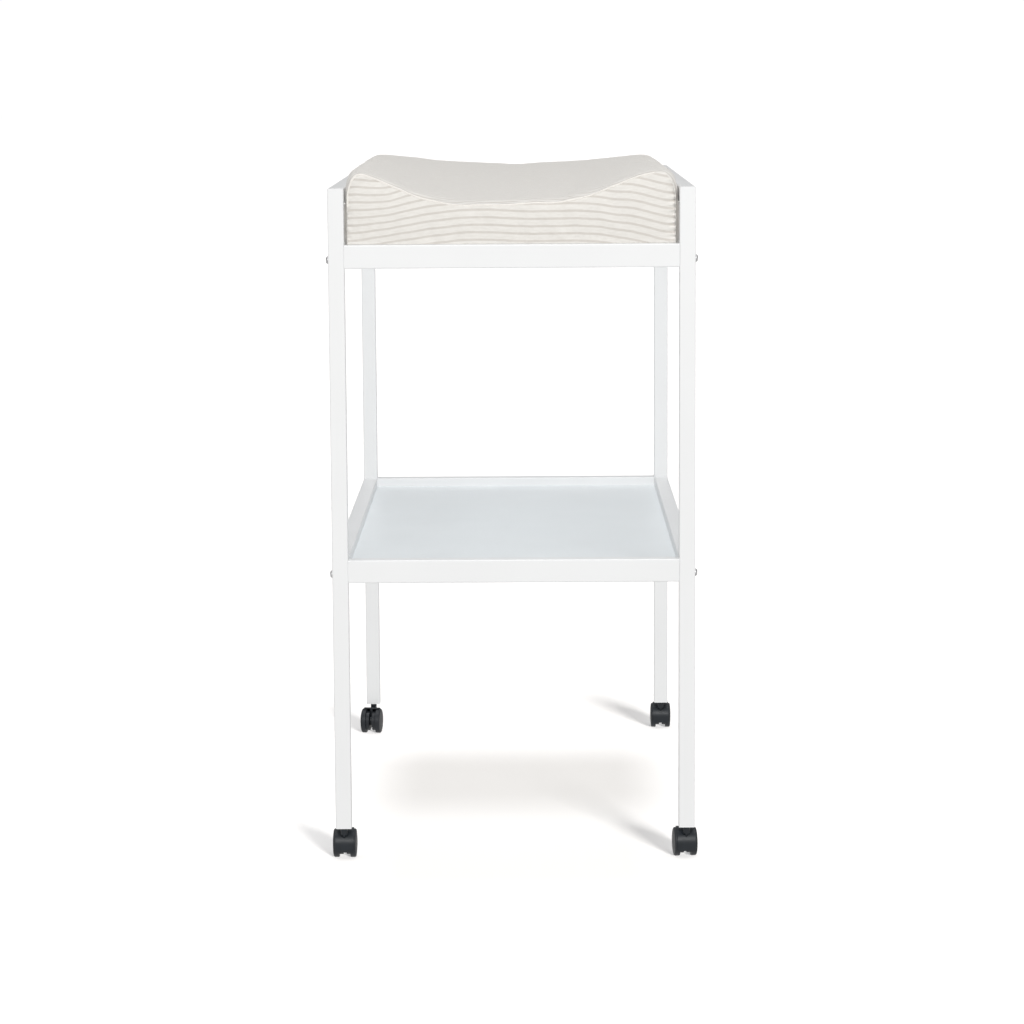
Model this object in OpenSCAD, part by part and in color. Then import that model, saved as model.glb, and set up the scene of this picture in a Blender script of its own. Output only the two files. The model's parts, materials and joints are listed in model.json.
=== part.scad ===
/* [Frame] */
// Overall width across the legs
frame_w = 500; // [440:5:600]
// Overall length along the guard rails
frame_l = 900; // [780:10:1000]
// Height of the guard rails' top above the floor
guard_top = 935; // [900:5:1000]
// Side of the square leg tube
tube = 22; // [20:1:26]
// Wall thickness of the steel tubes
wall = 1.2; // [1:0.1:2]
// Radius of the tubes' outer corners
corner_r = 1.8; // [1:0.1:2.5]

/* [Trays] */
// Height of the rails around both trays
rail_h = 32; // [28:1:40]
// Height of the upper rails' top above the floor
upper_top = 858; // [820:1:870]
// Height of the lower rails' top above the floor
lower_top = 425; // [300:5:500]
// Depth of each tray's floor below the top of its rails
tray_depth = 13.5; // [8:0.5:18]
// Thickness of the sheet steel floors
sheet = 1; // [0.8:0.1:2]
// Height of the floors' turned-down edges
flange_h = 11; // [8:1:14]

/* [Bolts] */
// Radius of the frame bolts' shanks
bolt_r = 3; // [2.5:0.5:4]
// Radius of the bolts' button heads
bolt_head_r = 5.25; // [4.5:0.25:6]
// Height of the bolts' button heads
bolt_head_h = 3.2; // [2.5:0.1:4]
// Height of the bolts above the bottom of the rail
bolt_rise = 11.5; // [9:0.5:16]

/* [Castors] */
// Radius of the wheels
wheel_r = 20; // [20:0.5:22]
// Overall width of a castor over both wheels
castor_w = 34; // [34:0.5:36]
// Horizontal distance from the swivel axis to the axle
trail = 18; // [17.5:0.5:19]
// Radius of the wheel axle
axle_r = 3; // [2.5:0.1:3.2]
// Radius of the swivel stem
stem_r = 4; // [3.8:0.1:4]
// Turn of each castor at rest, in degrees: front left, front right, rear left, rear right
castor_turn = [-1, 5, 172, -1]; // [-180:1:180]

/* [Pad] */
// Height of the pad's side lobes above the floor
pad_peak = 958; // [940:1:970]
// Height of the pad's hollow at the front end
pad_valley_front = 916; // [900:1:930]
// Height of the pad's hollow at the rear end
pad_valley_rear = 939; // [925:1:945]
// Thickness of the fitted cover
cover_t = 1.2; // [0.8:0.1:2]

/* [Hidden] */
$fn = 64;
eps = 0.01;
SIDES = ["left", "right"];
CORNERS = ["front_left", "front_right", "rear_left", "rear_right"];

// Colours of the finishes
powder_white = [0.96, 0.97, 0.98];
tray_white = [0.92, 0.93, 0.95];
zinc = [0.62, 0.63, 0.65];
black_nylon = [0.05, 0.05, 0.06];
foam_cream = [0.95, 0.92, 0.82];
cover_cream = [0.92, 0.88, 0.82];

// Plan of the frame about its own middle: centre line of a leg, and the inner faces of legs and rails
leg_x = (frame_w - tube) / 2;
leg_y = (frame_l - tube) / 2;
inner_x = frame_w / 2 - tube;
inner_y = frame_l / 2 - tube;

// Heights of the swivel stem, of the socket that holds it and of the housing's neck around it
stem_shoulder = 46.5;
socket_flange = 1.5;
leg_bottom = stem_shoulder + socket_flange;
collar_h = 1;
neck_top = stem_shoulder - collar_h - 0.3;
neck_r = stem_r + 0.9;
neck_bore_bottom = 35.5;
neck_cone_top = 36.5;
neck_tip = 29.3;
stem_bottom = neck_bore_bottom + 0.4;
stem_top = stem_shoulder + 35;
ring_z = stem_shoulder + 20;
ring_h = 4;
ring_gap = 1.5;
ring_groove_r = stem_r - 0.7;
socket_bore_r = stem_r + 0.6;
socket_depth = 38;
socket_end = 2;

// Frame bolts and the plugs that they screw into
bolt_hole_r = bolt_r + 0.3;
bolt_dome_h = 1.8;
bolt_key_r = 2.3;
bolt_key_depth = 2;
plug_len = 14;
bolt_len = tube + plug_len - 2;

// Clearances: swivel and wheel bearings, parts that slide into tubes, and the pad in its tray
swivel_gap = 0.04;
wheel_gap = 0.05;
insert_gap = 0.1;
pad_gap = 0.5;
floor_gap = 0.3;

// Castor housing: a hood over the wheels, and a web between them
hood_t = 1.2;
hood_in = wheel_r + 0.6;
hood_out = hood_in + hood_t;
hood_half = 12.8;
hood_from = -26;
hood_to = 100;
web_half = 1.8;
hub_r = 8;

// Wheels: a drum beside the web, then a wider tread with a domed outer face
wheel_in = web_half + 0.6;
drum_r = wheel_r - 4;
tread_in = 7.8;
wheel_out = castor_w / 2;
dome_r = 7 * wheel_r;
rim_round = 2.4;
edge_round = 1.2;
axle_half = wheel_out - 3;
axle_end_gap = 0.5;

// Pad: plan inside the tray below the rails' top, and overhang on the end rails above it
pad_half_x = inner_x - pad_gap;
pad_half_y = inner_y - pad_gap;
pad_over_y = frame_l / 2 - 10;
pad_bottom = upper_top - tray_depth + floor_gap;
pad_lip = upper_top + pad_gap;
pad_lobe_x = 205;
pad_floor_x = 80;
pad_side_drop = 34;
pad_end_round = 6;
pad_end_bevel = 2;
pad_step = 0.1;
pad_cuts = 32;
foam_gap = 0.2;

// Opening under the fitted cover, and the elastic band in its hem
hem_in_x = 55;
hem_in_y = 60;
band_w = 5;
band_t = 1;
band_gap = 0.2;

// The origin is the middle of the footprint on the floor, and the rear right castor trails past the frame
frame_mid_y = -(trail + hood_out - tube / 2) / 2;

function side_sign(i) = i == 0 ? -1 : 1;
function corner_x(i) = (i % 2 == 0 ? -1 : 1) * leg_x;
function corner_y(i) = (i < 2 ? -1 : 1) * leg_y;
function smooth(t) = let(c = max(0, min(1, t))) c * c * (3 - 2 * c);

// ---- tubes ----

// Rectangle with round corners, centred
module rounded_rect(w, h, r) {
    square([w - 2 * r, h], center = true);
    square([w, h - 2 * r], center = true);
    for (x = [-1, 1], y = [-1, 1])
        translate([x * (w / 2 - r), y * (h / 2 - r)]) circle(r = r, $fn = 32);
}

// Hollow tube along +Z from the origin, its section w by h
module tube_z(w, h, len) {
    linear_extrude(len) difference() {
        rounded_rect(w, h, corner_r);
        square([w - 2 * wall, h - 2 * wall], center = true);
    }
}

// Everything above the mitre between a leg and its guard rail, at the front (s = -1) or rear end
module above_mitre(s) {
    translate([-tube, 0, 0]) rotate([90, 0, 90]) linear_extrude(2 * tube)
        polygon([[s * frame_l / 2, guard_top], [s * inner_y, guard_top - tube],
                 [0, guard_top - tube], [0, guard_top + tube], [s * frame_l, guard_top + tube],
                 [s * frame_l, guard_top]]);
}

// Clearance hole for a frame bolt, along X through a leg at the origin
module bolt_hole(z) {
    translate([-tube, 0, z]) rotate([0, 90, 0]) cylinder(r = bolt_hole_r, h = 2 * tube);
}

module leg(i) {
    color(powder_white) translate([corner_x(i), 0, 0]) difference() {
        translate([0, corner_y(i), leg_bottom]) tube_z(tube, tube, guard_top - leg_bottom);
        above_mitre(sign(corner_y(i)));
        for (top = [upper_top, lower_top])
            translate([0, corner_y(i), 0]) bolt_hole(top - rail_h + bolt_rise);
    }
}

module guard_rail(i) {
    color(powder_white) translate([side_sign(i) * leg_x, 0, 0]) intersection() {
        translate([0, frame_l / 2, guard_top - tube / 2]) rotate([90, 0, 0]) tube_z(tube, tube, frame_l);
        union() {
            above_mitre(-1);
            above_mitre(1);
        }
    }
}

module side_rail(i, top) {
    color(powder_white) translate([side_sign(i) * leg_x, inner_y, top - rail_h / 2])
        rotate([90, 0, 0]) tube_z(tube, rail_h, 2 * inner_y);
}

module cross_rail(s, top) {
    color(powder_white) translate([-inner_x, s * leg_y, top - rail_h / 2])
        rotate([90, 0, 90]) tube_z(tube, rail_h, 2 * inner_x);
}

// ---- tray floors ----

// Sheet with its four edges turned down against the rails
module tray_floor(top) {
    w = 2 * inner_x - 2 * insert_gap;
    l = 2 * inner_y - 2 * insert_gap;
    color(tray_white) translate([0, 0, top - tray_depth - flange_h]) difference() {
        translate([-w / 2, -l / 2, 0]) cube([w, l, flange_h]);
        translate([-w / 2 + sheet, -l / 2 + sheet, -eps])
            cube([w - 2 * sheet, l - 2 * sheet, flange_h - sheet + eps]);
    }
}

// ---- bolts and the threaded plugs in the cross rails' ends ----

// Places children on the bolt axes of one tier, their +Z pointing out of the leg's side
module at_bolts(top) {
    for (sx = [-1, 1], sy = [-1, 1])
        translate([sx * frame_w / 2, sy * leg_y, top - rail_h + bolt_rise])
            rotate([0, sx * 90, 0]) children();
}

module bolts(top) {
    color(zinc) at_bolts(top) difference() {
        union() {
            translate([0, 0, -bolt_len]) cylinder(r = bolt_r, h = bolt_len);
            cylinder(r = bolt_head_r, h = bolt_head_h - bolt_dome_h);
            translate([0, 0, bolt_head_h - bolt_dome_h])
                cylinder(r1 = bolt_head_r, r2 = bolt_head_r - bolt_dome_h, h = bolt_dome_h);
        }
        translate([0, 0, bolt_head_h - bolt_key_depth]) cylinder(r = bolt_key_r, h = bolt_head_h, $fn = 6);
    }
}

module nut_plugs(top) {
    inner_w = tube - 2 * wall - 2 * insert_gap;
    inner_h = rail_h - 2 * wall - 2 * insert_gap;
    color(zinc) for (sx = [-1, 1], sy = [-1, 1])
        translate([sx * (inner_x - plug_len / 2), sy * leg_y, top - rail_h / 2]) difference() {
            cube([plug_len, inner_w, inner_h], center = true);
            translate([-plug_len, 0, bolt_rise - rail_h / 2]) rotate([0, 90, 0])
                cylinder(r = bolt_r, h = 2 * plug_len);
        }
}

// ---- castors ----

// Moves a castor from its own frame, swivel axis at the origin, to its corner
module at_castor(i) {
    translate([corner_x(i), corner_y(i), 0]) rotate([0, 0, castor_turn[i]]) children();
}

module socket(i) {
    plug = tube - 2 * wall - 2 * insert_gap;
    color(powder_white) translate([corner_x(i), corner_y(i), stem_shoulder]) difference() {
        union() {
            linear_extrude(socket_flange) rounded_rect(tube, tube, corner_r);
            translate([-plug / 2, -plug / 2, 0]) cube([plug, plug, socket_depth]);
        }
        translate([0, 0, -eps]) cylinder(r = socket_bore_r, h = socket_depth - socket_end);
    }
}

// Fixed pin that the housing swivels on, with a collar under the socket and a groove for its ring
module stem(i) {
    color(zinc) at_castor(i) rotate_extrude() polygon([
        [0, stem_bottom], [stem_r, stem_bottom],
        [stem_r, stem_shoulder - collar_h], [neck_r, stem_shoulder - collar_h],
        [neck_r, stem_shoulder], [stem_r, stem_shoulder],
        [stem_r, ring_z], [ring_groove_r, ring_z],
        [ring_groove_r, ring_z + ring_h], [stem_r, ring_z + ring_h],
        [stem_r, stem_top - 1], [stem_r - 1, stem_top], [0, stem_top]]);
}

module grip_rings() {
    color(zinc) for (i = [0:3]) at_castor(i) translate([0, 0, ring_z]) difference() {
        cylinder(r = socket_bore_r, h = ring_h);
        translate([0, 0, -eps]) cylinder(r = ring_groove_r, h = ring_h + 2 * eps);
        translate([0, -ring_gap / 2, -eps]) cube([2 * stem_r, ring_gap, ring_h + 2 * eps]);
    }
}

// Turns children so that their Z axis lies on the axle, with angles counted up from the leading side
module on_axle() {
    translate([0, trail, wheel_r]) rotate([90, 0, -90]) children();
}

// Curved hood over the front and top of the wheels, its side edges rounded
module hood() {
    rotate([0, 0, hood_from]) rotate_extrude(angle = hood_to - hood_from) {
        translate([hood_in, hood_t / 2 - hood_half]) square([hood_t, 2 * hood_half - hood_t]);
        for (side = [-1, 1])
            translate([hood_in + hood_t / 2, side * (hood_half - hood_t / 2)])
                circle(r = hood_t / 2, $fn = 32);
    }
}

// Web between the wheels, filling the hood, with a hub around the axle
module web() {
    rotate([0, 0, hood_from]) rotate_extrude(angle = hood_to - hood_from)
        translate([0, -web_half]) square([hood_in + eps, 2 * web_half]);
    translate([0, 0, -web_half]) cylinder(r = hub_r, h = 2 * web_half);
}

module housing(i) {
    color(black_nylon) at_castor(i) difference() {
        union() {
            on_axle() {
                hood();
                web();
            }
            rotate_extrude()
                polygon([[0, neck_tip], [neck_r, neck_cone_top], [neck_r, neck_top], [0, neck_top]]);
        }
        translate([0, 0, neck_bore_bottom]) cylinder(r = stem_r + swivel_gap, h = neck_top);
        on_axle() translate([0, 0, -2 * web_half]) cylinder(r = axle_r, h = 4 * web_half);
    }
}

module axle(i) {
    color(zinc) at_castor(i) on_axle() translate([0, 0, -axle_half]) cylinder(r = axle_r, h = 2 * axle_half);
}

// Half profile of a wheel: radius against distance from the castor's middle
module wheel_profile() {
    rim_x = wheel_out - dome_r + sqrt(dome_r * dome_r - pow(wheel_r - rim_round, 2)) - rim_round;
    difference() {
        union() {
            translate([0, wheel_in]) square([drum_r, tread_in]);
            intersection() {
                translate([0, tread_in]) square([wheel_r - rim_round, wheel_out]);
                translate([0, wheel_out - dome_r]) circle(r = dome_r, $fn = 360);
            }
            translate([0, tread_in]) square([wheel_r - edge_round, edge_round]);
            translate([0, tread_in + edge_round]) square([wheel_r, rim_x - tread_in - edge_round]);
            translate([wheel_r - rim_round, rim_x]) circle(r = rim_round);
            translate([wheel_r - edge_round, tread_in + edge_round]) circle(r = edge_round);
        }
        translate([-1, 0]) square([1 + axle_r + wheel_gap, axle_half + axle_end_gap]);
        translate([-2 * wheel_r, 0]) square([2 * wheel_r, 2 * wheel_out]);
    }
}

// One wheel of castor i, on the side of the castor's own -X (s = -1) or +X
module wheel(i, s) {
    color(black_nylon) at_castor(i) translate([0, trail, wheel_r]) rotate([0, s * 90, 0])
        rotate_extrude($fn = 96) wheel_profile();
}

// ---- pad ----

// Height of the pad's top at x, blended from the front end's deep hollow to the rear's shallow one
function lobe_front(x) = pad_valley_front
    + (pad_peak - pad_valley_front) * smooth((abs(x) - pad_floor_x) / (pad_lobe_x - pad_floor_x));
function lobe_rear(x) = pad_valley_rear + (pad_peak - pad_valley_rear) * pow(min(abs(x) / pad_lobe_x, 1), 2);
function shoulder_drop(x) = let(t = max(0, (abs(x) - pad_lobe_x) / (pad_half_x - pad_lobe_x)))
    pad_side_drop * (1 - sqrt(max(0, 1 - t * t)));
function pad_top(x, y) = let(t = (y + pad_over_y) / (2 * pad_over_y))
    lobe_front(x) * (1 - t) + lobe_rear(x) * t - shoulder_drop(x);

// Stations along the pad: [y, rounding inset, height of the underside]
pad_stations = [
    for (s = [-1, 1]) each let(half = [
        [pad_over_y, pad_end_round, pad_lip],
        [pad_over_y - pad_end_round / 4, pad_end_bevel, pad_lip],
        [pad_over_y - pad_end_round, 0, pad_lip],
        [pad_half_y + pad_step, 0, pad_lip],
        [pad_half_y - pad_step, 0, pad_bottom],
        [pad_half_y * 2 / 3, 0, pad_bottom],
        [pad_half_y / 3, 0, pad_bottom]])
        s < 0 ? [for (h = half) [-h[0], h[1], h[2]]] : [for (k = [len(half) - 1:-1:0]) half[k]]];

// One cross-section of the pad at a station, shrunk by inset
function pad_ring(st, inset) = let(
    y = st[0] - sign(st[0]) * inset,
    hx = pad_half_x - inset - st[1],
    z0 = st[2] + inset)
    concat([[-hx, y, z0], [hx, y, z0]],
           [for (k = [0:pad_cuts]) let(x = cos(180 * k / pad_cuts), xi = pad_half_x * x)
               [hx * x, y, pad_top(xi, y) - inset - st[1]]]);

// Triangles that close an end: each half of the top fans out from the corner below it
function pad_end_faces(n) = let(middle = 2 + pad_cuts / 2) concat(
    [for (k = [2:middle - 1]) [1, k, k + 1]], [[0, 1, middle]],
    [for (k = [middle:n - 2]) [0, k, k + 1]]);

// Closed skin through all the cross-sections
module pad_solid(inset) {
    rings = [for (st = pad_stations) pad_ring(st, inset)];
    n = len(rings[0]);
    m = len(rings);
    points = [for (r = rings) each r];
    sides = [for (j = [0:m - 2], k = [0:n - 1]) each [
        [j * n + k, j * n + (k + 1) % n, (j + 1) * n + (k + 1) % n],
        [j * n + k, (j + 1) * n + (k + 1) % n, (j + 1) * n + k]]];
    ends = [for (f = pad_end_faces(n)) each [[f[2], f[1], f[0]], [for (k = f) (m - 1) * n + k]]];
    polyhedron(points, concat(sides, ends), convexity = 6);
}

module pad_foam() {
    color(foam_cream) pad_solid(cover_t + foam_gap);
}

// Half sizes of the opening under the fitted cover
hem_x = pad_half_x - hem_in_x;
hem_y = pad_half_y - hem_in_y;

// Fitted cover, open underneath where its hem is drawn in
module pad_cover() {
    color(cover_cream) difference() {
        pad_solid(0);
        pad_solid(cover_t);
        translate([-hem_x, -hem_y, pad_bottom - cover_t])
            cube([2 * hem_x, 2 * hem_y, 2 * cover_t + foam_gap / 2]);
    }
}

// Elastic band sewn inside the hem, lying just within the cover's opening
module cover_elastic() {
    color(cover_cream) translate([0, 0, pad_bottom]) linear_extrude(band_t) difference() {
        square([2 * (hem_x - band_gap), 2 * (hem_y - band_gap)], center = true);
        square([2 * (hem_x - band_w), 2 * (hem_y - band_w)], center = true);
    }
}

// ---- drawing ----

// Moves the frame's own middle to its place over the footprint
module placed() {
    translate([0, frame_mid_y, 0]) children();
}

for (i = [0:3]) {
    placed() leg(i);
    placed() socket(i);
    placed() stem(i);
    placed() housing(i);
    placed() axle(i);
    placed() wheel(i, -1);
    placed() wheel(i, 1);
}
for (i = [0:1]) {
    placed() guard_rail(i);
    placed() side_rail(i, upper_top);
    placed() side_rail(i, lower_top);
}
placed() cross_rail(-1, upper_top);  // upper_front_rail
placed() cross_rail(1, upper_top);  // upper_rear_rail
placed() cross_rail(-1, lower_top);  // lower_front_rail
placed() cross_rail(1, lower_top);  // lower_rear_rail
placed() tray_floor(upper_top);  // upper_tray_floor
placed() tray_floor(lower_top);  // lower_tray_floor
placed() bolts(upper_top);  // upper_bolts
placed() bolts(lower_top);  // lower_bolts
placed() nut_plugs(upper_top);  // upper_nut_plugs
placed() nut_plugs(lower_top);  // lower_nut_plugs
placed() grip_rings();
placed() pad_foam();
placed() pad_cover();
placed() cover_elastic();
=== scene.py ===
"""The looks of a changing table: a powder-coated steel frame on twin-wheel castors, with a contoured
changing pad in a striped fitted cover. Lengths are in metres, in the frame's own axes."""

import json
import math

import bmesh
import bpy
import numpy as np
from mathutils import Matrix, Vector, noise


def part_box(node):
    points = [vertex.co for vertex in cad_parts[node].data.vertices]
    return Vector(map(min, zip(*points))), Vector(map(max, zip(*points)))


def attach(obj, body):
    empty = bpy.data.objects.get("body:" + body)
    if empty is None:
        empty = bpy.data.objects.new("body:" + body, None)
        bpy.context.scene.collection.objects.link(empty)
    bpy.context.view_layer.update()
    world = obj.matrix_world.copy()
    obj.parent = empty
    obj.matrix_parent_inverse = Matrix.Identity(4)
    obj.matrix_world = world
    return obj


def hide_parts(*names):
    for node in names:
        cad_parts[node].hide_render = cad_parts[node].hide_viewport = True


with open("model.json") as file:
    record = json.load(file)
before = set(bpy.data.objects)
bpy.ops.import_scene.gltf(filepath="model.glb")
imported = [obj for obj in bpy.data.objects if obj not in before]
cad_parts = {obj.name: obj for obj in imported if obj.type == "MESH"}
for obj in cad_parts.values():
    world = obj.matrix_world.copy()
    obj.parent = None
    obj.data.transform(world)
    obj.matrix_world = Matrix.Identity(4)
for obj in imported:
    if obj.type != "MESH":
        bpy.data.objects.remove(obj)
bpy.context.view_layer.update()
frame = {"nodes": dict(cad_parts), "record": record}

# ---- sizes of the soft parts; their places come from the frame ----

PAD_LOW, PAD_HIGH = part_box("pad_cover")
HEM_LOW, HEM_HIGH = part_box("cover_elastic")
RAIL_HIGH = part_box("upper_front_rail")[1]
GUARD_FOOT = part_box("guard_rail_left")[0].z
PAD_HALF_X = (PAD_HIGH.x - PAD_LOW.x) / 2
PAD_FRONT = PAD_LOW.y
PAD_REAR = PAD_HIGH.y
PAD_LENGTH = PAD_REAR - PAD_FRONT
PAD_BOTTOM = PAD_LOW.z + 0.0002
RAIL_GAP = 0.0006  # between the pad and the end rails it hangs over
LIP = RAIL_HIGH.z + RAIL_GAP  # underside of the pad where it overhangs the end rails
STEP_IN = RAIL_HIGH.y - PAD_FRONT + RAIL_GAP  # how far the overhang reaches in from each end

FRONT_TOP = (  # x and z of the top at the front end, from left to right
    (-0.228, 0.9568), (-0.206, 0.9542), (-0.160, 0.9362), (-0.108, 0.9180), (-0.040, 0.9124),
    (0.030, 0.9148), (0.084, 0.9184), (0.140, 0.9360), (0.188, 0.9526), (0.228, 0.9556),
)
REAR_VALLEY = 0.9365
REAR_PEAK = (0.9575, 0.9545)  # left and right
REAR_CURVE = 1.8
SHOULDER_FRONT = (0.020, 0.036)  # width and drop of the rounding along each side
SHOULDER_MIDDLE = ((0.009, 0.012), (0.014, 0.018))  # left and right
SHOULDER_EASE = 0.10  # the front rounding has become the middle one this far in
CORNER_ROUND = 0.0015
CREASE_ROUND = (0.0048, 0.0012)  # depth and drop of the rounding of the top's two ends
LEG_PINCH = (0.0032, 0.0042)  # how far the left and right legs press the pad's corners in
LEG_DEPTH = 0.012  # how far in from each end of the pad the legs reach
PINCH_EASE = 0.010  # and how far past the legs the pad takes to swell out again
SIDE_BULGE = 0.0034
BULGE_EASE = 0.012
BULGE_FLATNESS = 0.3  # lower is flatter across, with rounder edges at the rails
BULGE_MARGIN = 0.0005  # left straight beside each rail
STRIPE_PERIOD = 0.0101
STRIPE_OFFSET = -0.0008
STRIPE_FALL = (  # x, and how far the stripes of an end panel have fallen there
    (-0.228, 0.0200), (-0.206, 0.0178), (-0.180, 0.0127), (-0.134, 0.0065), (-0.093, 0.0015),
    (-0.045, -0.0015), (0.009, 0.0008), (0.060, 0.0009), (0.105, 0.0011), (0.146, 0.0060),
    (0.185, 0.0133), (0.210, 0.0193), (0.228, 0.0214),
)
STRIPE_CLOSER = (0.09, -0.172, 0.026)  # the stripes crowd on the left lobe: share, place and width
STRIPE_WIDER = (  # and spread towards the left and right edges: share, start and ease
    (0.03, 0.195, 0.025),
    (0.055, 0.14, 0.035),
)
PUCKER_SIZE = (0.0012, 0.0034)  # left and right
PUCKER_PERIOD = 0.0082
PUCKER_REACH = (0.011, 0.008)  # along the end, and along the side
PUCKER_SLANT = 90.0
PUCKER_WANDER = 1.6
PUCKER_SINK = 0.6  # share of their size by which the puckers lie deeper than the plain cover
PLEAT_DEPTH = 0.0011
PLEAT_PERIOD = 0.013
PLEAT_REACH = 0.045  # how far out from the opening the pleats have faded away
WELT_RADIUS = 0.0012
WELT_REACH = 0.196  # the welt shows as far as here on the right
WELT_FOOT = 0.905  # and down to this height on the left
WELT_UNEVEN = 0.10
TUBE_GIRTH = 0.008  # of fabric, once round a welt or the elastic
COVER_THICKNESS = 0.0011
COVER_SPACING = 0.0075  # of the cover's grid lines
FOAM_SPACING = 0.02
FOAM_INSET = 0.005
ELASTIC_RADIUS = 0.003
ELASTIC_FLATNESS = 0.42
ELASTIC_CORNER = 0.03
RUFFLE_PERIOD = 0.009

# ---- how the cover swells over the foam ----

PUFF_FRAMES = 14
PUFF_PRESSURE = 4.0
PUFF_SLACK = 0.012  # share by which the cloth is larger than what it covers
PUFF_LIMIT = 0.006  # no point moves further than this
HOLD_SEAM = 1.0  # at the seams, on the tray and underneath
HOLD_SIDE = 0.2
HOLD_TOP = 0.12
HOLD_END = 0.03
LIP_MARGIN = 0.002  # height above the end rails where the side bulge and the puckers begin
END_SWELL = 0.005  # the most that the cover's two ends swell

# ---- light; each sun's spread, height above the floor and turn from the front are in degrees ----

SKY_LIGHT = 0.42
SKY_SEEN = 1.02  # just over white, so the camera sees a clean white
FLOOR_BOUNCE = 0.75
FLOOR_GLOW = (1.0, 0.99, 0.975)
FLOOR_COLOUR = (0.88, 0.855, 0.83)
LIGHT_AIM = Vector((0, 0, 0.4))
KEY_PLACE = (0.8, -6.4, 3.6)
KEY_WATTS = 302.0
KEY_SIZE = (6.4, 1.6)
KEY_COLOUR = (1.0, 1.0, 0.99)
TOP_LIGHT = 0.865
TOP_SPREAD = 40.0
WHITE = (1.0, 1.0, 1.0)
FLOOR_KEY = (9.3, 12.0, 9.5, 21.0)  # energy, spread, height and turn
WASH_ENERGY = 0.93
WASH_SPREAD = 19.0
WASH_COLOUR = (0.92, 0.95, 1.0)
WASHES = (("wash_front", 53.5, -2.0), ("wash_rear", 65.0, 180.0))  # name, height and turn


# ---- camera ----

CAMERA_PLACE = (0.0217, -4.834, 1.1054)
CAMERA_TURNS = (0.308, -8.0, 0.347)  # yaw, pitch and roll, in degrees
CAMERA_LENS = 112.95
CAMERA_SENSOR = 36.0
CAMERA_REACH = 200.0


def make_camera():
    """Camera that looks along the table from a little above its front end."""
    data = bpy.data.cameras.new("camera")
    data.sensor_width = CAMERA_SENSOR
    data.lens = CAMERA_LENS
    data.clip_end = CAMERA_REACH
    camera = bpy.data.objects.new("camera", data)
    yaw, pitch, roll = (math.radians(a) for a in CAMERA_TURNS)
    camera.matrix_world = (
        Matrix.Translation(CAMERA_PLACE)
        @ Matrix.Rotation(yaw, 4, "Z")
        @ Matrix.Rotation(pitch, 4, "X")
        @ Matrix.Rotation(roll, 4, "Y")
        @ Matrix.Rotation(math.pi / 2, 4, "X")
    )
    bpy.context.scene.collection.objects.link(camera)
    bpy.context.scene.camera = camera


make_camera()


# ---- materials ----

class Finish:
    """A material with a Principled shader, and short calls that add nodes to it."""

    def __init__(self, name, **settings):
        self.material = bpy.data.materials.new(name)
        self.material.use_nodes = True
        self.tree = self.material.node_tree
        self.shader = self.tree.nodes["Principled BSDF"]
        for setting, value in settings.items():
            socket = "IOR" if setting == "ior" else setting.replace("_", " ").title()
            self.shader.inputs[socket].default_value = value
        self.place = self.node("ShaderNodeTexCoord").outputs["Object"]
        self.height = None

    def node(self, kind, **settings):
        made = self.tree.nodes.new(kind)
        for name, value in settings.items():
            setattr(made, name, value)
        return made

    def link(self, source, target):
        self.tree.links.new(source, target)

    def noise(self, scale, detail=3.0, stretch=None):
        """Noise with scale in cycles per metre; stretch multiplies that along each axis."""
        texture = self.node("ShaderNodeTexNoise")
        texture.inputs["Scale"].default_value = scale
        texture.inputs["Detail"].default_value = detail
        source = self.place
        if stretch:
            mapping = self.node("ShaderNodeMapping")
            mapping.inputs["Scale"].default_value = stretch
            self.link(source, mapping.inputs["Vector"])
            source = mapping.outputs["Vector"]
        self.link(source, texture.inputs["Vector"])
        return texture.outputs["Fac"]

    def math(self, operation, a, b=0.0):
        made = self.node("ShaderNodeMath", operation=operation)
        for socket, value in zip(made.inputs, (a, b)):
            if isinstance(value, (int, float)):
                socket.default_value = value
            else:
                self.link(value, socket)
        return made.outputs["Value"]

    def ramp(self, source, *stops):
        """Colour ramp with stops of (position, colour)."""
        made = self.node("ShaderNodeValToRGB")
        elements = made.color_ramp.elements
        while len(elements) < len(stops):
            elements.new(0.5)
        for element, (position, colour) in zip(elements, stops):
            element.position = position
            element.color = (*colour, 1.0)
        self.link(source, made.inputs["Fac"])
        return made.outputs["Color"]

    def span(self, source, low, high, start=0.0, end=1.0):
        """source, from start to end, mapped to low to high."""
        made = self.node("ShaderNodeMapRange")
        for name, value in (("From Min", start), ("From Max", end), ("To Min", low), ("To Max", high)):
            made.inputs[name].default_value = value
        self.link(source, made.inputs["Value"])
        return made.outputs["Result"]

    def mix(self, factor, a, b, blend_type="MIX"):
        made = self.node("ShaderNodeMix", data_type="RGBA", blend_type=blend_type)
        sockets = [s for s in made.inputs if s.type == "RGBA"]
        for socket, value in zip(sockets, (a, b)):
            if isinstance(value, tuple):
                socket.default_value = (*value, 1.0)
            else:
                self.link(value, socket)
        if isinstance(factor, float):
            made.inputs["Factor"].default_value = factor
        else:
            self.link(factor, made.inputs["Factor"])
        return [s for s in made.outputs if s.type == "RGBA"][0]

    def colour(self, source):
        self.link(source, self.shader.inputs["Base Color"])

    def roughness(self, source):
        self.link(source, self.shader.inputs["Roughness"])

    def bump(self, source, distance, strength=1.0):
        """Adds a bump of that height in metres on top of the ones before it."""
        made = self.node("ShaderNodeBump")
        made.inputs["Strength"].default_value = strength
        made.inputs["Distance"].default_value = distance
        self.link(source, made.inputs["Height"])
        if self.height is not None:
            self.link(self.height, made.inputs["Normal"])
        self.height = made.outputs["Normal"]
        self.link(self.height, self.shader.inputs["Normal"])


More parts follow.
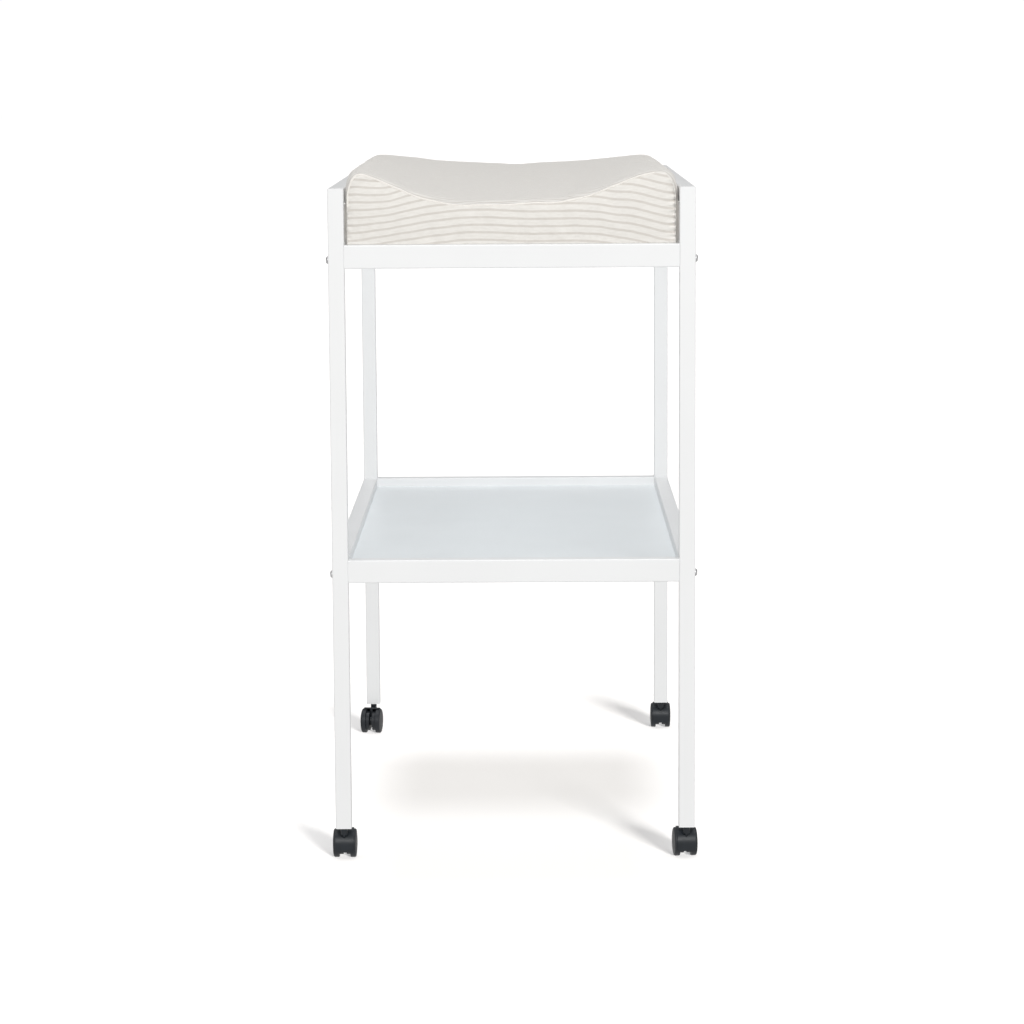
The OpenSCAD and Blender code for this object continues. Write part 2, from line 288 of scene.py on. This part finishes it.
def powder_coat(name, light, dark, smoothest, roughest, waviness, peel):
    """White powder coat: a fine orange peel, faint clouds in colour and gloss, and a slow waviness."""
    coat = Finish(name, ior=1.5)
    clouds = coat.noise(7.0, detail=4.0)
    coat.colour(coat.ramp(clouds, (0.35, dark), (0.65, light)))
    coat.roughness(coat.span(coat.noise(12.0), smoothest, roughest, 0.3, 0.7))
    coat.bump(coat.noise(3.5, detail=1.0), waviness)
    coat.bump(coat.noise(700.0, detail=1.0), peel)
    return coat.material


def brushed_metal(name, light, dark, roughness, scratch):
    """Plated steel with fine scratches along one axis."""
    metal = Finish(name, metallic=1.0)
    clouds = metal.noise(120.0, detail=4.0)
    metal.colour(metal.ramp(clouds, (0.3, dark), (0.7, light)))
    lines = metal.noise(1500.0, stretch=scratch)
    metal.roughness(metal.span(lines, roughness - 0.08, roughness + 0.1, 0.3, 0.7))
    metal.bump(lines, 0.00002, 0.4)
    return metal.material


def nylon(name, light, dark, smoothest, roughest):
    """Moulded nylon with a fine spark-eroded grain and slightly uneven gloss."""
    plastic = Finish(name, ior=1.45)
    plastic.colour(plastic.ramp(plastic.noise(90.0, detail=4.0), (0.35, dark), (0.65, light)))
    plastic.roughness(plastic.span(plastic.noise(250.0), smoothest, roughest, 0.3, 0.7))
    plastic.bump(plastic.noise(2600.0, detail=1.0), 0.00002, 0.5)
    return plastic.material


def woven(finish, pitch, depth):
    """Bump of a plain knit on the piece's own fabric coordinates; returns u and v in metres."""
    fabric = finish.node("ShaderNodeUVMap", uv_map="fabric")
    parts = finish.node("ShaderNodeSeparateXYZ")
    finish.link(fabric.outputs["UV"], parts.inputs["Vector"])
    u, v = parts.outputs["X"], parts.outputs["Y"]
    turn = 2 * math.pi / pitch
    columns = finish.math("SINE", finish.math("MULTIPLY", u, turn))
    rows = finish.math("SINE", finish.math("MULTIPLY", v, turn))
    threads = finish.math("MULTIPLY", columns, rows)
    finish.bump(finish.span(threads, 0.0, 1.0, -1.0, 1.0), depth, 0.8)
    return u, v


def striped_fabric():
    """Cream cotton jersey with soft narrow stripes, thread by thread uneven."""
    cotton = Finish("striped_cover", roughness=0.88, sheen_weight=0.25, sheen_roughness=0.5)
    cotton.bump(cotton.noise(260.0, detail=3.0), 0.0003, 0.3)
    u, v = woven(cotton, 0.0009, 0.00012)
    drift = cotton.span(cotton.noise(35.0, detail=2.0), -0.0006, 0.0006)
    across = cotton.math("DIVIDE", cotton.math("ADD", v, drift), STRIPE_PERIOD)
    ground = (0.775, 0.755, 0.722)
    line = (0.64, 0.608, 0.57)
    stripe = cotton.ramp(
        cotton.math("FRACT", across),
        (0.0, ground), (0.3, ground), (0.4, line), (0.6, line), (0.7, ground), (1.0, ground),
    )
    slub = cotton.noise(420.0, detail=2.0, stretch=(0.25, 1.0, 1.0))
    flecks = cotton.ramp(slub, (0.3, (0.93, 0.925, 0.915)), (0.7, (1.0, 1.0, 1.0)))
    cotton.colour(cotton.mix(1.0, stripe, flecks, "MULTIPLY"))
    return cotton.material


def plain_fabric(name, light, dark, rib_pitch):
    """Plain narrow fabric, for the welts and the elastic: ribs across its length."""
    cloth = Finish(name, roughness=0.85, sheen_weight=0.2, sheen_roughness=0.5)
    cloth.colour(cloth.ramp(cloth.noise(300.0), (0.3, dark), (0.7, light)))
    cloth.bump(cloth.noise(500.0), 0.0001, 0.4)
    woven(cloth, rib_pitch, 0.00015)
    return cloth.material


def open_foam():
    """Cream polyurethane foam with small open cells; the colour darkens into each cell's hollow as painted
    shade.
    """
    foam = Finish("pad_core_foam", roughness=0.95, subsurface_weight=0.15)
    foam.shader.inputs["Subsurface Radius"].default_value = (0.004, 0.003, 0.002)
    cells = foam.node("ShaderNodeTexVoronoi")
    cells.inputs["Scale"].default_value = 900.0
    foam.link(foam.place, cells.inputs["Vector"])
    depth = cells.outputs["Distance"]
    # painted shade: the colour is darkest at the bottom of each cell, where the bump below makes its hollow
    foam.colour(foam.ramp(depth, (0.0, (0.62, 0.56, 0.42)), (0.5, (0.84, 0.79, 0.64))))
    foam.bump(depth, 0.0004, 0.7)
    return foam.material


FINISHES = {
    "powder_coated_tube": powder_coat(
        "powder_coated_tube", (0.80, 0.806, 0.812), (0.785, 0.79, 0.796), 0.36, 0.44, 0.0002, 0.00001),
    "tray_sheet": powder_coat(
        "tray_sheet", (0.808, 0.842, 0.862), (0.793, 0.827, 0.847), 0.34, 0.42, 0.0006, 0.000003),
    "bolt_steel": brushed_metal(
        "bolt_steel", (0.62, 0.62, 0.63), (0.52, 0.52, 0.53), 0.45, (1.0, 1.0, 1.0)),
    "plated_steel": brushed_metal(
        "plated_steel", (0.62, 0.62, 0.63), (0.50, 0.50, 0.51), 0.30, (1.0, 1.0, 0.1)),
    "socket_nylon": nylon(
        "socket_nylon", (0.84, 0.85, 0.86), (0.81, 0.82, 0.83), 0.40, 0.50),
    "castor_nylon": nylon(
        "castor_nylon", (0.010, 0.014, 0.020), (0.007, 0.010, 0.014), 0.36, 0.46),
    "wheel_nylon": nylon(
        "wheel_nylon", (0.014, 0.017, 0.022), (0.010, 0.012, 0.016), 0.40, 0.52),
    "foam": open_foam(),
    "striped_cover": striped_fabric(),
    "elastic": plain_fabric("hem_elastic", (0.86, 0.84, 0.80), (0.78, 0.76, 0.72), 0.0008),
}
WELT_FABRIC = plain_fabric("welt_fabric", (0.88, 0.85, 0.805), (0.82, 0.79, 0.745), 0.0007)


def finish_nodes():
    """Gives every CAD node its finish."""
    for part in frame["record"]["subparts"]:
        for slot in frame["nodes"][part["node"]].material_slots:
            slot.material = FINISHES[part["material_slot"]]


finish_nodes()


# ---- shape of the pad ----

def smooth(t):
    """Rises from 0 to 1 as t does, and is level at both ends."""
    t = min(max(t, 0.0), 1.0)
    return t * t * (3 - 2 * t)


def through(points, x):
    """Smooth curve through points of (x, z)."""
    xs = [p[0] for p in points]
    zs = [p[1] for p in points]
    n = min(max(int(np.searchsorted(xs, x)) - 1, 0), len(xs) - 2)
    slopes = []
    for m in (n, n + 1):
        before, after = max(m - 1, 0), min(m + 1, len(xs) - 1)
        slopes.append((zs[after] - zs[before]) / (xs[after] - xs[before]))
    span = xs[n + 1] - xs[n]
    t = (x - xs[n]) / span
    a, b = zs[n] + slopes[0] * span * t, zs[n + 1] - slopes[1] * span * (1 - t)
    return a + (b - a) * smooth(t)


def rear_profile(x):
    """Height of the top at the rear end: one shallow curve."""
    peak = REAR_PEAK[0] if x < 0 else REAR_PEAK[1]
    return REAR_VALLEY + (peak - REAR_VALLEY) * min(abs(x) / PAD_HALF_X, 1.0) ** REAR_CURVE


def shoulder(x, depth):
    """How far the top has dropped towards the pad's side. The ends are rounder than the middle."""
    ease = smooth(depth / SHOULDER_EASE)
    middle = SHOULDER_MIDDLE[0] if x < 0 else SHOULDER_MIDDLE[1]
    width, drop = (a + (b - a) * ease for a, b in zip(SHOULDER_FRONT, middle))
    t = min(max(0.0, (abs(x) - PAD_HALF_X + width) / width), 1.0)
    return drop * (1 - math.sqrt(1 - t * t))


def round_in(depth, radius):
    """How far a round corner of that radius stands back, at a depth from its end."""
    if depth >= radius:
        return 0.0
    return radius - math.sqrt(radius * radius - (radius - depth) ** 2)


def side_bulge(z, depth):
    """How far the pad swells out through the open side, between the tray's rail and the guard rail."""
    middle = (LIP + GUARD_FOOT) / 2
    half = (GUARD_FOOT - LIP) / 2 - BULGE_MARGIN
    across = max(0.0, 1 - ((z - middle) / half) ** 2)
    return SIDE_BULGE * across ** BULGE_FLATNESS * smooth((depth - LEG_DEPTH) / BULGE_EASE)


def pad_point(x, y, t):
    """Point of the pad's skin in one cross-section: x across, and t from the underside to the top."""
    depth = min(y - PAD_FRONT, PAD_REAR - y)
    along = (y - PAD_FRONT) / PAD_LENGTH
    top = through(FRONT_TOP, x) * (1 - along) + rear_profile(x) * along
    crease_depth, crease_drop = CREASE_ROUND
    top -= shoulder(x, depth) + round_in(depth, crease_depth) * (crease_drop / crease_depth)
    bottom = LIP if depth < STEP_IN else PAD_BOTTOM
    z = bottom + t * (top - bottom)
    pinch = LEG_PINCH[0] if x < 0 else LEG_PINCH[1]
    inward = round_in(depth, CORNER_ROUND) + pinch * (1 - smooth((depth - LEG_DEPTH) / PINCH_EASE))
    inward -= side_bulge(z, depth)
    return Vector((x * (1 - inward / PAD_HALF_X), y, z))


def steps(low, high, spacing):
    """Evenly spaced values from low to high, as near to that spacing as fits."""
    return list(np.linspace(low, high, 1 + round((high - low) / spacing)))


def pad_lines(spacing):
    """Grid lines of the pad: across, along, and up its sides. They crowd together near the edges."""
    width = SHOULDER_FRONT[0]
    lobe = PAD_HALF_X - width
    shoulder_x = [lobe + width * math.sin(math.radians(a)) for a in (16, 32, 46, 58, 70, 80, 90)]
    across = [-x for x in reversed(shoulder_x)] + steps(-lobe, lobe, spacing) + shoulder_x
    near_end = [0.0, 0.0010, 0.0026, 0.0054, 0.0088, STEP_IN - 0.0002, STEP_IN + 0.0002]
    near_end += [STEP_IN + 0.005, STEP_IN + 0.010]
    inner = STEP_IN + 0.015
    along = [PAD_FRONT + depth for depth in near_end]
    along += steps(PAD_FRONT + inner, PAD_REAR - inner, spacing)
    along += [PAD_REAR - depth for depth in reversed(near_end)]
    up = [0.0, 0.012, 0.05] + steps(0.10, 0.90, 0.05) + [0.95, 0.985, 1.0]
    return across, along, up


def end_stripe(x, z):
    """Distance across the stripes of an end panel. They are level in the middle and fall to the sides."""
    share, place, width = STRIPE_CLOSER
    closer = share * math.exp(-(((x - place) / width) ** 2))
    for side, (share, start, ease) in zip((-1, 1), STRIPE_WIDER):
        closer -= share * smooth((side * x - start) / ease)
    return (z - LIP) * (1 + closer) + through(STRIPE_FALL, x) - STRIPE_OFFSET


def fabric_place(side, point, x, y):
    """Fabric coordinates in metres, with the stripes along the first one."""
    if side == "end":
        return x, end_stripe(x, point.z)
    if side == "side":
        return point.z, y
    return x, y


def pad_skin(name, spacing):
    """Closed skin of the pad as one grid wrapped round it, with a fabric UV map on each panel."""
    across, along, up = pad_lines(spacing)
    last = (len(across) - 1, len(along) - 1, len(up) - 1)
    mesh = bmesh.new()
    fabric = mesh.loops.layers.uv.new("fabric")
    verts = {}

    def corner(i, j, k):
        if (i, j, k) not in verts:
            verts[i, j, k] = mesh.verts.new(pad_point(across[i], along[j], up[k]))
        return verts[i, j, k]

    def panel(side, cells, flip):
        for cell in cells:
            ring = [(corner(*place), place) for place in (reversed(cell) if flip else cell)]
            face = mesh.faces.new([vert for vert, _ in ring])
            face.smooth = True
            for loop, (vert, (i, j, _)) in zip(face.loops, ring):
                loop[fabric].uv = fabric_place(side, vert.co, across[i], along[j])

    for k, flip in ((0, True), (last[2], False)):
        panel("top", ([(i, j, k), (i + 1, j, k), (i + 1, j + 1, k), (i, j + 1, k)]
                      for i in range(last[0]) for j in range(last[1])), flip)
    for i, flip in ((0, True), (last[0], False)):
        panel("side", ([(i, j, k), (i, j + 1, k), (i, j + 1, k + 1), (i, j, k + 1)]
                       for j in range(last[1]) for k in range(last[2])), flip)
    for j, flip in ((0, False), (last[1], True)):
        panel("end", ([(i, j, k), (i + 1, j, k), (i + 1, j, k + 1), (i, j, k + 1)]
                      for i in range(last[0]) for k in range(last[2])), flip)
    mesh.verts.index_update()
    places = {place: vert.index for place, vert in verts.items()}
    data = bpy.data.meshes.new(name)
    mesh.to_mesh(data)
    mesh.free()
    piece = bpy.data.objects.new(name, data)
    bpy.context.scene.collection.objects.link(piece)
    return piece, places, last


def coordinates(piece):
    """The piece's points as rows of x, y and z."""
    flat = np.empty(len(piece.data.vertices) * 3)
    piece.data.vertices.foreach_get("co", flat)
    return flat.reshape(-1, 3)


def set_coordinates(piece, points):
    piece.data.vertices.foreach_set("co", np.asarray(points, dtype=np.float32).ravel())
    piece.data.update()


def apply_modifiers(piece):
    """Replaces the piece's mesh with what its modifiers make of it."""
    graph = bpy.context.evaluated_depsgraph_get()
    made = bpy.data.meshes.new_from_object(piece.evaluated_get(graph), depsgraph=graph)
    piece.modifiers.clear()
    piece.data = made


def puff(piece, hold):
    """Lets the cloth swell and wrinkle over what holds it: hold is each point's pull back, up to 1."""
    start = coordinates(piece)
    held = piece.vertex_groups.new(name="hold")
    for index, weight in enumerate(hold):
        held.add([index], float(weight), "REPLACE")
    cloth = piece.modifiers.new("cloth", "CLOTH")
    cloth.settings.quality = 5
    cloth.settings.mass = 0.25
    cloth.settings.tension_stiffness = 12.0
    cloth.settings.compression_stiffness = 12.0
    cloth.settings.shear_stiffness = 4.0
    cloth.settings.bending_stiffness = 0.15
    cloth.settings.shrink_min = -PUFF_SLACK
    cloth.settings.use_pressure = True
    cloth.settings.uniform_pressure_force = PUFF_PRESSURE
    cloth.settings.vertex_group_mass = "hold"
    cloth.settings.effector_weights.gravity = 0.0
    cloth.collision_settings.use_collision = False
    cloth.collision_settings.use_self_collision = False
    cloth.point_cache.frame_start = 1
    cloth.point_cache.frame_end = PUFF_FRAMES
    for number in range(1, PUFF_FRAMES + 1):
        bpy.context.scene.frame_set(number)
    graph = bpy.context.evaluated_depsgraph_get()
    evaluated = piece.evaluated_get(graph)
    flat = np.empty(len(evaluated.data.vertices) * 3)
    evaluated.data.vertices.foreach_get("co", flat)
    moved = flat.reshape(-1, 3) - start
    piece.modifiers.remove(cloth)
    bpy.context.scene.frame_set(1)
    length = np.linalg.norm(moved, axis=1, keepdims=True)
    moved *= PUFF_LIMIT * np.tanh(length / PUFF_LIMIT) / np.maximum(length, 1e-9)
    set_coordinates(piece, start + moved)


def cover_hold(places, last, points):
    """How firmly the foam and the tray hold each point of the cover."""
    hold = np.zeros(len(points))
    for (i, j, k), index in places.items():
        on_end = j in (0, last[1])
        in_tray = points[index][2] < LIP + 0.001
        crease = on_end and (k == last[2] or i in (0, last[0]))
        if k == 0 or in_tray or crease:
            hold[index] = HOLD_SEAM
        elif k == last[2]:
            hold[index] = HOLD_TOP
        elif on_end:
            hold[index] = HOLD_END
        else:
            hold[index] = HOLD_SIDE
    return hold


def keep_clear(points):
    """Keeps the cover inside the rails and off the tray, and lets it swell in the open sides."""
    free = (points[:, 2] > LIP + LIP_MARGIN) & (points[:, 2] < GUARD_FOOT - 0.001)
    free &= (points[:, 1] > PAD_FRONT + LEG_DEPTH) & (points[:, 1] < PAD_REAR - LEG_DEPTH)
    reach = PAD_HALF_X + np.where(free, SIDE_BULGE + 0.001, 0.0)
    points[:, 0] = np.clip(points[:, 0], -reach, reach)
    points[:, 1] = np.clip(points[:, 1], PAD_FRONT - END_SWELL, PAD_REAR + END_SWELL)
    points[:, 2] = np.maximum(points[:, 2], PAD_BOTTOM)
    return points


def pucker_corners(points):
    """Gathers down the cover's four upright seams, where the panels are eased together."""
    for index, (x, y, z) in enumerate(points):
        aside = PAD_HALF_X - abs(x)
        depth = min(y - PAD_FRONT, PAD_REAR - y)
        if z < LIP + LIP_MARGIN or aside > 0.03 or depth > 0.02:
            continue
        size = PUCKER_SIZE[0] if x < 0 else PUCKER_SIZE[1]
        reach, reach_in = PUCKER_REACH
        fade = math.exp(-((aside / reach) ** 2)) * math.exp(-((max(depth, 0) / reach_in) ** 2))
        fade *= smooth((z - LIP - LIP_MARGIN) / 0.008)
        wander = PUCKER_WANDER * noise.noise(Vector((3.0, y * 3, z * 45)))
        wave = math.sin(z * 2 * math.pi / PUCKER_PERIOD + wander + PUCKER_SLANT * aside)
        outward = 1 if y > PAD_FRONT + PAD_LENGTH / 2 else -1
        points[index][1] += outward * size * fade * (wave - PUCKER_SINK)
    return points


def gather_hem(points):
    """Pleats in the underside, deepest at the elastic, folded up into the foam."""
    middle = Vector(((HEM_LOW.x + HEM_HIGH.x) / 2, (HEM_LOW.y + HEM_HIGH.y) / 2))
    half = Vector(((HEM_HIGH.x - HEM_LOW.x) / 2, (HEM_HIGH.y - HEM_LOW.y) / 2))
    for index, (x, y, z) in enumerate(points):
        if z > PAD_BOTTOM + 0.004:
            continue
        dx, dy = abs(x - middle.x) - half.x, abs(y - middle.y) - half.y
        out = max(dx, dy)
        run = y if dx > dy else x
        fade = 1 - smooth(out / PLEAT_REACH)
        wave = math.sin(run * 2 * math.pi / PLEAT_PERIOD + 3 * math.sin(run * 19))
        points[index][2] += PLEAT_DEPTH * fade * (1 + wave)
    return points


def cut_hem_opening(piece):
    """Removes the underside inside the elastic."""
    def inside_hem(face):
        middle = face.calc_center_median()
        level = middle.z < PAD_BOTTOM + 0.003
        return level and HEM_LOW.x < middle.x < HEM_HIGH.x and HEM_LOW.y < middle.y < HEM_HIGH.y

    mesh = bmesh.new()
    mesh.from_mesh(piece.data)
    inside = [face for face in mesh.faces if inside_hem(face)]
    bmesh.ops.delete(mesh, geom=inside, context="FACES")
    mesh.to_mesh(piece.data)
    mesh.free()


def make_cover():
    """The striped fitted cover: a swollen skin with seams at its ends, open underneath."""
    piece, places, last = pad_skin("fitted_cover", COVER_SPACING)
    puff(piece, cover_hold(places, last, coordinates(piece)))
    points = keep_clear(coordinates(piece))
    set_coordinates(piece, points)
    seams = [seam_path(places, last, points, j) for j in (0, last[1])]
    cut_hem_opening(piece)
    smoother = piece.modifiers.new("smoother", "SUBSURF")
    smoother.levels = 1
    apply_modifiers(piece)
    set_coordinates(piece, gather_hem(pucker_corners(keep_clear(coordinates(piece)))))
    shell = piece.modifiers.new("shell", "SOLIDIFY")
    shell.thickness = COVER_THICKNESS
    shell.offset = -1.0
    apply_modifiers(piece)
    piece.data.materials.append(FINISHES["striped_cover"])
    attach(piece, "pad")
    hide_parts("pad_cover")
    return seams


# ---- welts, elastic and foam ----

def seam_path(places, last, points, j):
    """The seam round an end panel: up one side, along the crease and down the other."""
    left = [points[places[0, j, k]] for k in range(last[2])]
    crease = [points[places[i, j, last[2]]] for i in range(last[0] + 1)]
    right = [points[places[last[0], j, k]] for k in reversed(range(last[2]))]
    return [Vector(p) for p in left + crease + right]


def even_path(path, spacing):
    """The same path with points at an even spacing."""
    lengths = np.cumsum([0.0] + [(b - a).length for a, b in zip(path, path[1:])])
    marks = np.linspace(0, lengths[-1], 1 + round(lengths[-1] / spacing))
    columns = [np.interp(marks, lengths, [p[axis] for p in path]) for axis in range(3)]
    return [Vector(p) for p in zip(*columns)]


def sweep(name, path, ring_at, closed=False):
    """Tube along a path. ring_at(distance) gives the points of a ring as (sideways, up) offsets."""
    mesh = bmesh.new()
    fabric = mesh.loops.layers.uv.new("fabric")
    rings, marks = [], []
    distance = 0.0
    count = len(path)
    for n, point in enumerate(path):
        before = path[(n - 1) % count] if closed or n else point
        after = path[(n + 1) % count] if closed or n < count - 1 else point
        ahead = (after - before).normalized()
        up = Vector((0, 1, 0)) if abs(ahead.y) < 0.9 and not closed else Vector((0, 0, 1))
        side = ahead.cross(up).normalized()
        up = side.cross(ahead)
        rings.append([mesh.verts.new(point + side * a + up * b) for a, b in ring_at(distance)])
        marks.append(distance)
        distance += (path[(n + 1) % count] - point).length
    size = len(rings[0])
    girth = TUBE_GIRTH / size
    for n in range(count if closed else count - 1):
        one, two = rings[n], rings[(n + 1) % count]
        start = marks[n]
        end = start + (path[(n + 1) % count] - path[n]).length
        for m in range(size):
            face = mesh.faces.new([one[m], two[m], two[(m + 1) % size], one[(m + 1) % size]])
            face.smooth = True
            for loop, (s, turn) in zip(face.loops, [(start, m), (end, m), (end, m + 1), (start, m + 1)]):
                loop[fabric].uv = (s, turn * girth)
    if not closed:
        mesh.faces.new(list(reversed(rings[-1])))
        mesh.faces.new(rings[0])
    bmesh.ops.recalc_face_normals(mesh, faces=mesh.faces)
    data = bpy.data.meshes.new(name)
    mesh.to_mesh(data)
    mesh.free()
    piece = bpy.data.objects.new(name, data)
    bpy.context.scene.collection.objects.link(piece)
    return piece


def round_ring(radius, size=10):
    return [(radius * math.cos(2 * math.pi * m / size), radius * math.sin(2 * math.pi * m / size))
            for m in range(size)]


def make_welt(name, path):
    """Narrow rolled seam around an end panel, a little uneven along its length."""
    def ring(distance):
        swell = 1 + WELT_UNEVEN * noise.noise(Vector((distance * 90, 0, 0)))
        return round_ring(WELT_RADIUS * swell)

    kept = [p for p in path if p.x < WELT_REACH and p.z > WELT_FOOT]
    piece = sweep(name, even_path(kept, 0.0025), ring)
    piece.data.materials.append(WELT_FABRIC)
    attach(piece, "pad")


def make_elastic():
    """Gathered elastic band in the hem, round the opening under the cover."""
    inset, corner, z = ELASTIC_RADIUS, ELASTIC_CORNER, PAD_BOTTOM + 0.0016
    x0, x1 = HEM_LOW.x + inset + corner, HEM_HIGH.x - inset - corner
    y0, y1 = HEM_LOW.y + inset + corner, HEM_HIGH.y - inset - corner
    path = []
    for x, y, start in ((x1, y1, 0), (x0, y1, 90), (x0, y0, 180), (x1, y0, 270)):
        for turn in range(0, 91, 10):
            a = math.radians(start + turn)
            path.append(Vector((x + corner * math.cos(a), y + corner * math.sin(a), z)))
    path = even_path(path + path[:1], 0.0015)[:-1]

    def ring(distance):
        ruffle = math.sin(distance * 2 * math.pi / RUFFLE_PERIOD)
        wide, high = 1 + 0.2 * ruffle, ELASTIC_FLATNESS + 0.1 * ruffle
        return [(a * wide, b * high) for a, b in round_ring(ELASTIC_RADIUS)]

    piece = sweep("hem_elastic", path, ring, closed=True)
    piece.data.materials.append(FINISHES["elastic"])
    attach(piece, "pad")
    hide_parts("cover_elastic")


def make_foam():
    """The foam block inside the cover, which shows only through the opening underneath."""
    piece, _, _ = pad_skin("pad_core", FOAM_SPACING)
    top = min(z for _, z in FRONT_TOP)
    middle = np.array([0.0, PAD_FRONT + PAD_LENGTH / 2, (PAD_BOTTOM + top) / 2])
    half = np.array([PAD_HALF_X, PAD_LENGTH / 2, (top - PAD_BOTTOM) / 2])
    set_coordinates(piece, middle + (coordinates(piece) - middle) * (1 - FOAM_INSET / half))
    piece.data.materials.append(FINISHES["foam"])
    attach(piece, "pad")
    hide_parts("pad_foam")


end_seams = make_cover()
make_welt("welt_front", end_seams[0])
make_welt("welt_rear", end_seams[1])
make_elastic()
make_foam()


# ---- floor, sky and lights ----

def camera_choice(tree, unseen, seen):
    """Shader that is one thing to the camera and another to every other ray."""
    ray = tree.nodes.new("ShaderNodeLightPath")
    choice = tree.nodes.new("ShaderNodeMixShader")
    tree.links.new(ray.outputs["Is Camera Ray"], choice.inputs[0])
    tree.links.new(unseen.outputs[0], choice.inputs[1])
    tree.links.new(seen.outputs[0], choice.inputs[2])
    return choice.outputs[0]


def make_floor():
    """Plain floor that the lights fall on for the camera. All else sees it as an even glow."""
    bpy.ops.mesh.primitive_plane_add(size=120.0, location=(0, 0, -0.0002))
    floor = bpy.context.object
    floor.name = "floor"
    paper = bpy.data.materials.new("paper")
    paper.use_nodes = True
    tree = paper.node_tree
    tree.nodes.clear()
    seen = tree.nodes.new("ShaderNodeBsdfDiffuse")
    seen.inputs["Color"].default_value = (*FLOOR_COLOUR, 1)
    glow = tree.nodes.new("ShaderNodeEmission")
    glow.inputs["Color"].default_value = (*FLOOR_GLOW, 1)
    glow.inputs["Strength"].default_value = FLOOR_BOUNCE
    out = tree.nodes.new("ShaderNodeOutputMaterial")
    tree.links.new(camera_choice(tree, glow, seen), out.inputs["Surface"])
    floor.data.materials.append(paper)
    return floor


def make_sky():
    """White to the camera, and a dim even grey as a light."""
    world = bpy.data.worlds.new("studio")
    bpy.context.scene.world = world
    world.use_nodes = True
    tree = world.node_tree
    tree.nodes.clear()
    lit = tree.nodes.new("ShaderNodeBackground")
    lit.inputs["Color"].default_value = (SKY_LIGHT, SKY_LIGHT, SKY_LIGHT, 1)
    seen = tree.nodes.new("ShaderNodeBackground")
    seen.inputs["Color"].default_value = (SKY_SEEN, SKY_SEEN, SKY_SEEN, 1)
    out = tree.nodes.new("ShaderNodeOutputWorld")
    tree.links.new(camera_choice(tree, lit, seen), out.inputs["Surface"])


def linked(name, pieces, state="INCLUDE"):
    """Collection for light linking, which takes in those pieces or leaves them out."""
    made = bpy.data.collections.new(name)
    for piece in pieces:
        made.objects.link(piece)
    for entry in made.collection_objects:
        entry.light_linking.link_state = state
    return made


def make_light(name, kind, place, energy, colour):
    """Light that faces the middle of the table from a place."""
    data = bpy.data.lights.new(name, kind)
    data.energy = energy
    data.color = colour
    light = bpy.data.objects.new(name, data)
    light.location = place
    light.rotation_euler = (LIGHT_AIM - Vector(place)).to_track_quat("-Z", "Y").to_euler()
    bpy.context.scene.collection.objects.link(light)
    return light


def make_floor_sun(name, energy, spread, height, turn, colour, floor, blockers):
    """Soft sun that shines on the floor only, and that only the blockers shade."""
    height, turn = math.radians(height), math.radians(turn)
    level = math.cos(height)
    towards = Vector((level * math.sin(turn), -level * math.cos(turn), math.sin(height)))
    sun = make_light(name, "SUN", LIGHT_AIM + 5 * towards, energy, colour)
    sun.data.angle = math.radians(spread)
    sun.light_linking.receiver_collection = linked(name + "_receivers", [floor])
    sun.light_linking.blocker_collection = linked(name + "_blockers", blockers)


def make_lights(floor):
    """A key and a top light for the table, and a low key and two washes for the floor alone.

    Each light is shaded by some pieces only: the first two by the legs, guard rails and castors, the low
    key by the castors, which gives their streaks, and the washes by the lower tray, which gives its shadow.
    """
    nodes = frame["nodes"]
    castors = [piece for name, piece in nodes.items() if name.startswith(("stem", "housing", "wheel"))]
    sides = [piece for name, piece in nodes.items() if name.startswith(("leg", "guard"))]
    shelf = [nodes["lower_tray_floor"]]
    key = make_light("key", "AREA", KEY_PLACE, KEY_WATTS, KEY_COLOUR)
    key.data.shape = "RECTANGLE"
    key.data.size, key.data.size_y = KEY_SIZE
    top = make_light("top", "SUN", (0.0, 0.0, 5.0), TOP_LIGHT, WHITE)
    top.data.angle = math.radians(TOP_SPREAD)
    for light in (key, top):
        light.light_linking.blocker_collection = linked(light.name + "_blockers", castors + sides)
        light.light_linking.receiver_collection = linked(light.name + "_receivers", [floor], "EXCLUDE")
    make_floor_sun("floor_key", *FLOOR_KEY, WHITE, floor, castors)
    for name, height, turn in WASHES:
        make_floor_sun(name, WASH_ENERGY, WASH_SPREAD, height, turn, WASH_COLOUR, floor, shelf)


bpy.context.scene.view_settings.view_transform = "Standard"
make_sky()
make_lights(make_floor())
